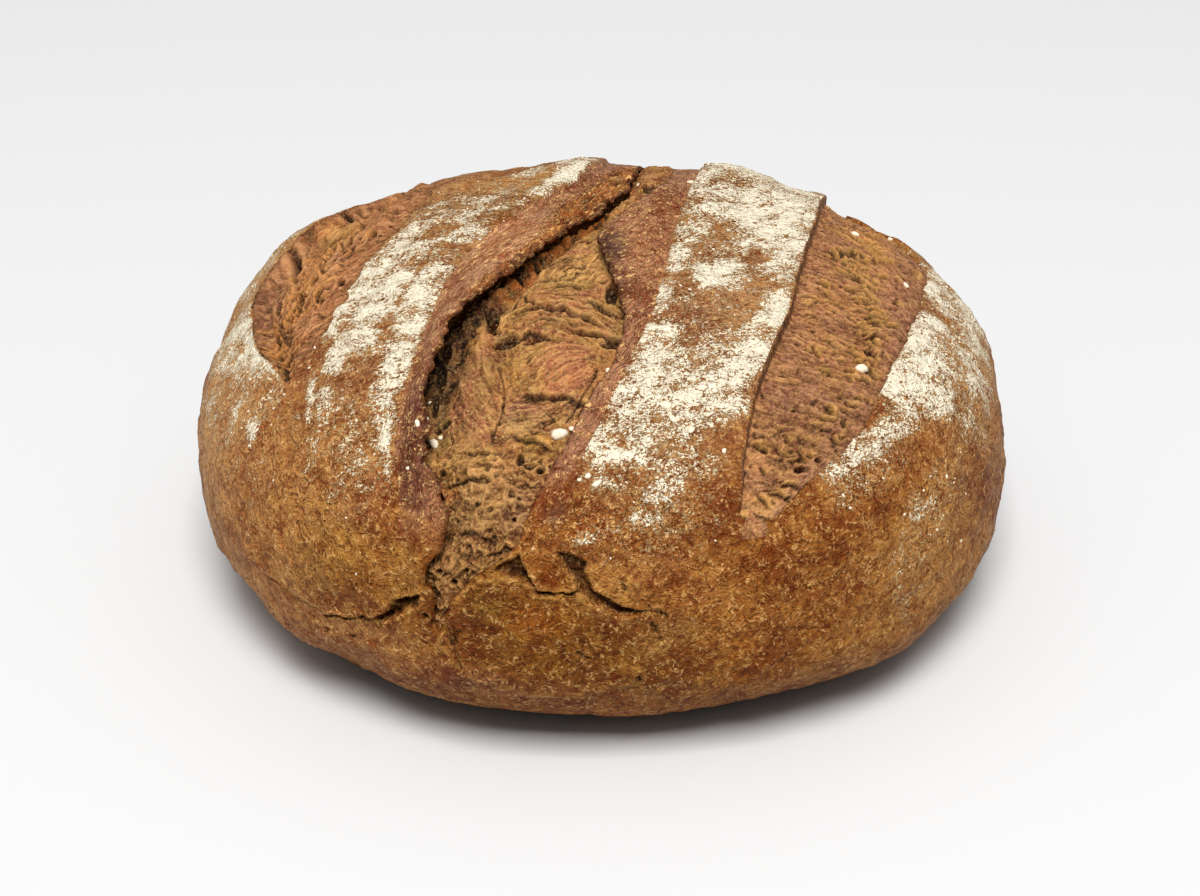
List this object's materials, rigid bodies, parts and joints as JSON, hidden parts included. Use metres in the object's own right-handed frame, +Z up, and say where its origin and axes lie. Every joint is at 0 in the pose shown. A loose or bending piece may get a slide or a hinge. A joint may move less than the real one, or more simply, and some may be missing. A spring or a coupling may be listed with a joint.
{
  "type": "sourdough loaf",
  "caption": "Round hearth loaf with a low domed crust, a wide burst slash down the front, a shallow slash on each side and a flat foot.",
  "frame": {"origin": "centre of the bounding box, on the surface that the loaf rests on", "axes": "+X to the loaf's right as seen from the front, along its longest extent; -Y towards the front, where the burst runs down to the table; +Z up"},
  "size_m": [0.25, 0.2404, 0.1087],
  "materials": {
    "crust": "dry matt baked crust, browned unevenly, with flour left in bands"
  },
  "bodies": {
    "root": {"loaf": "crust"}
  },
  "joints": []
}
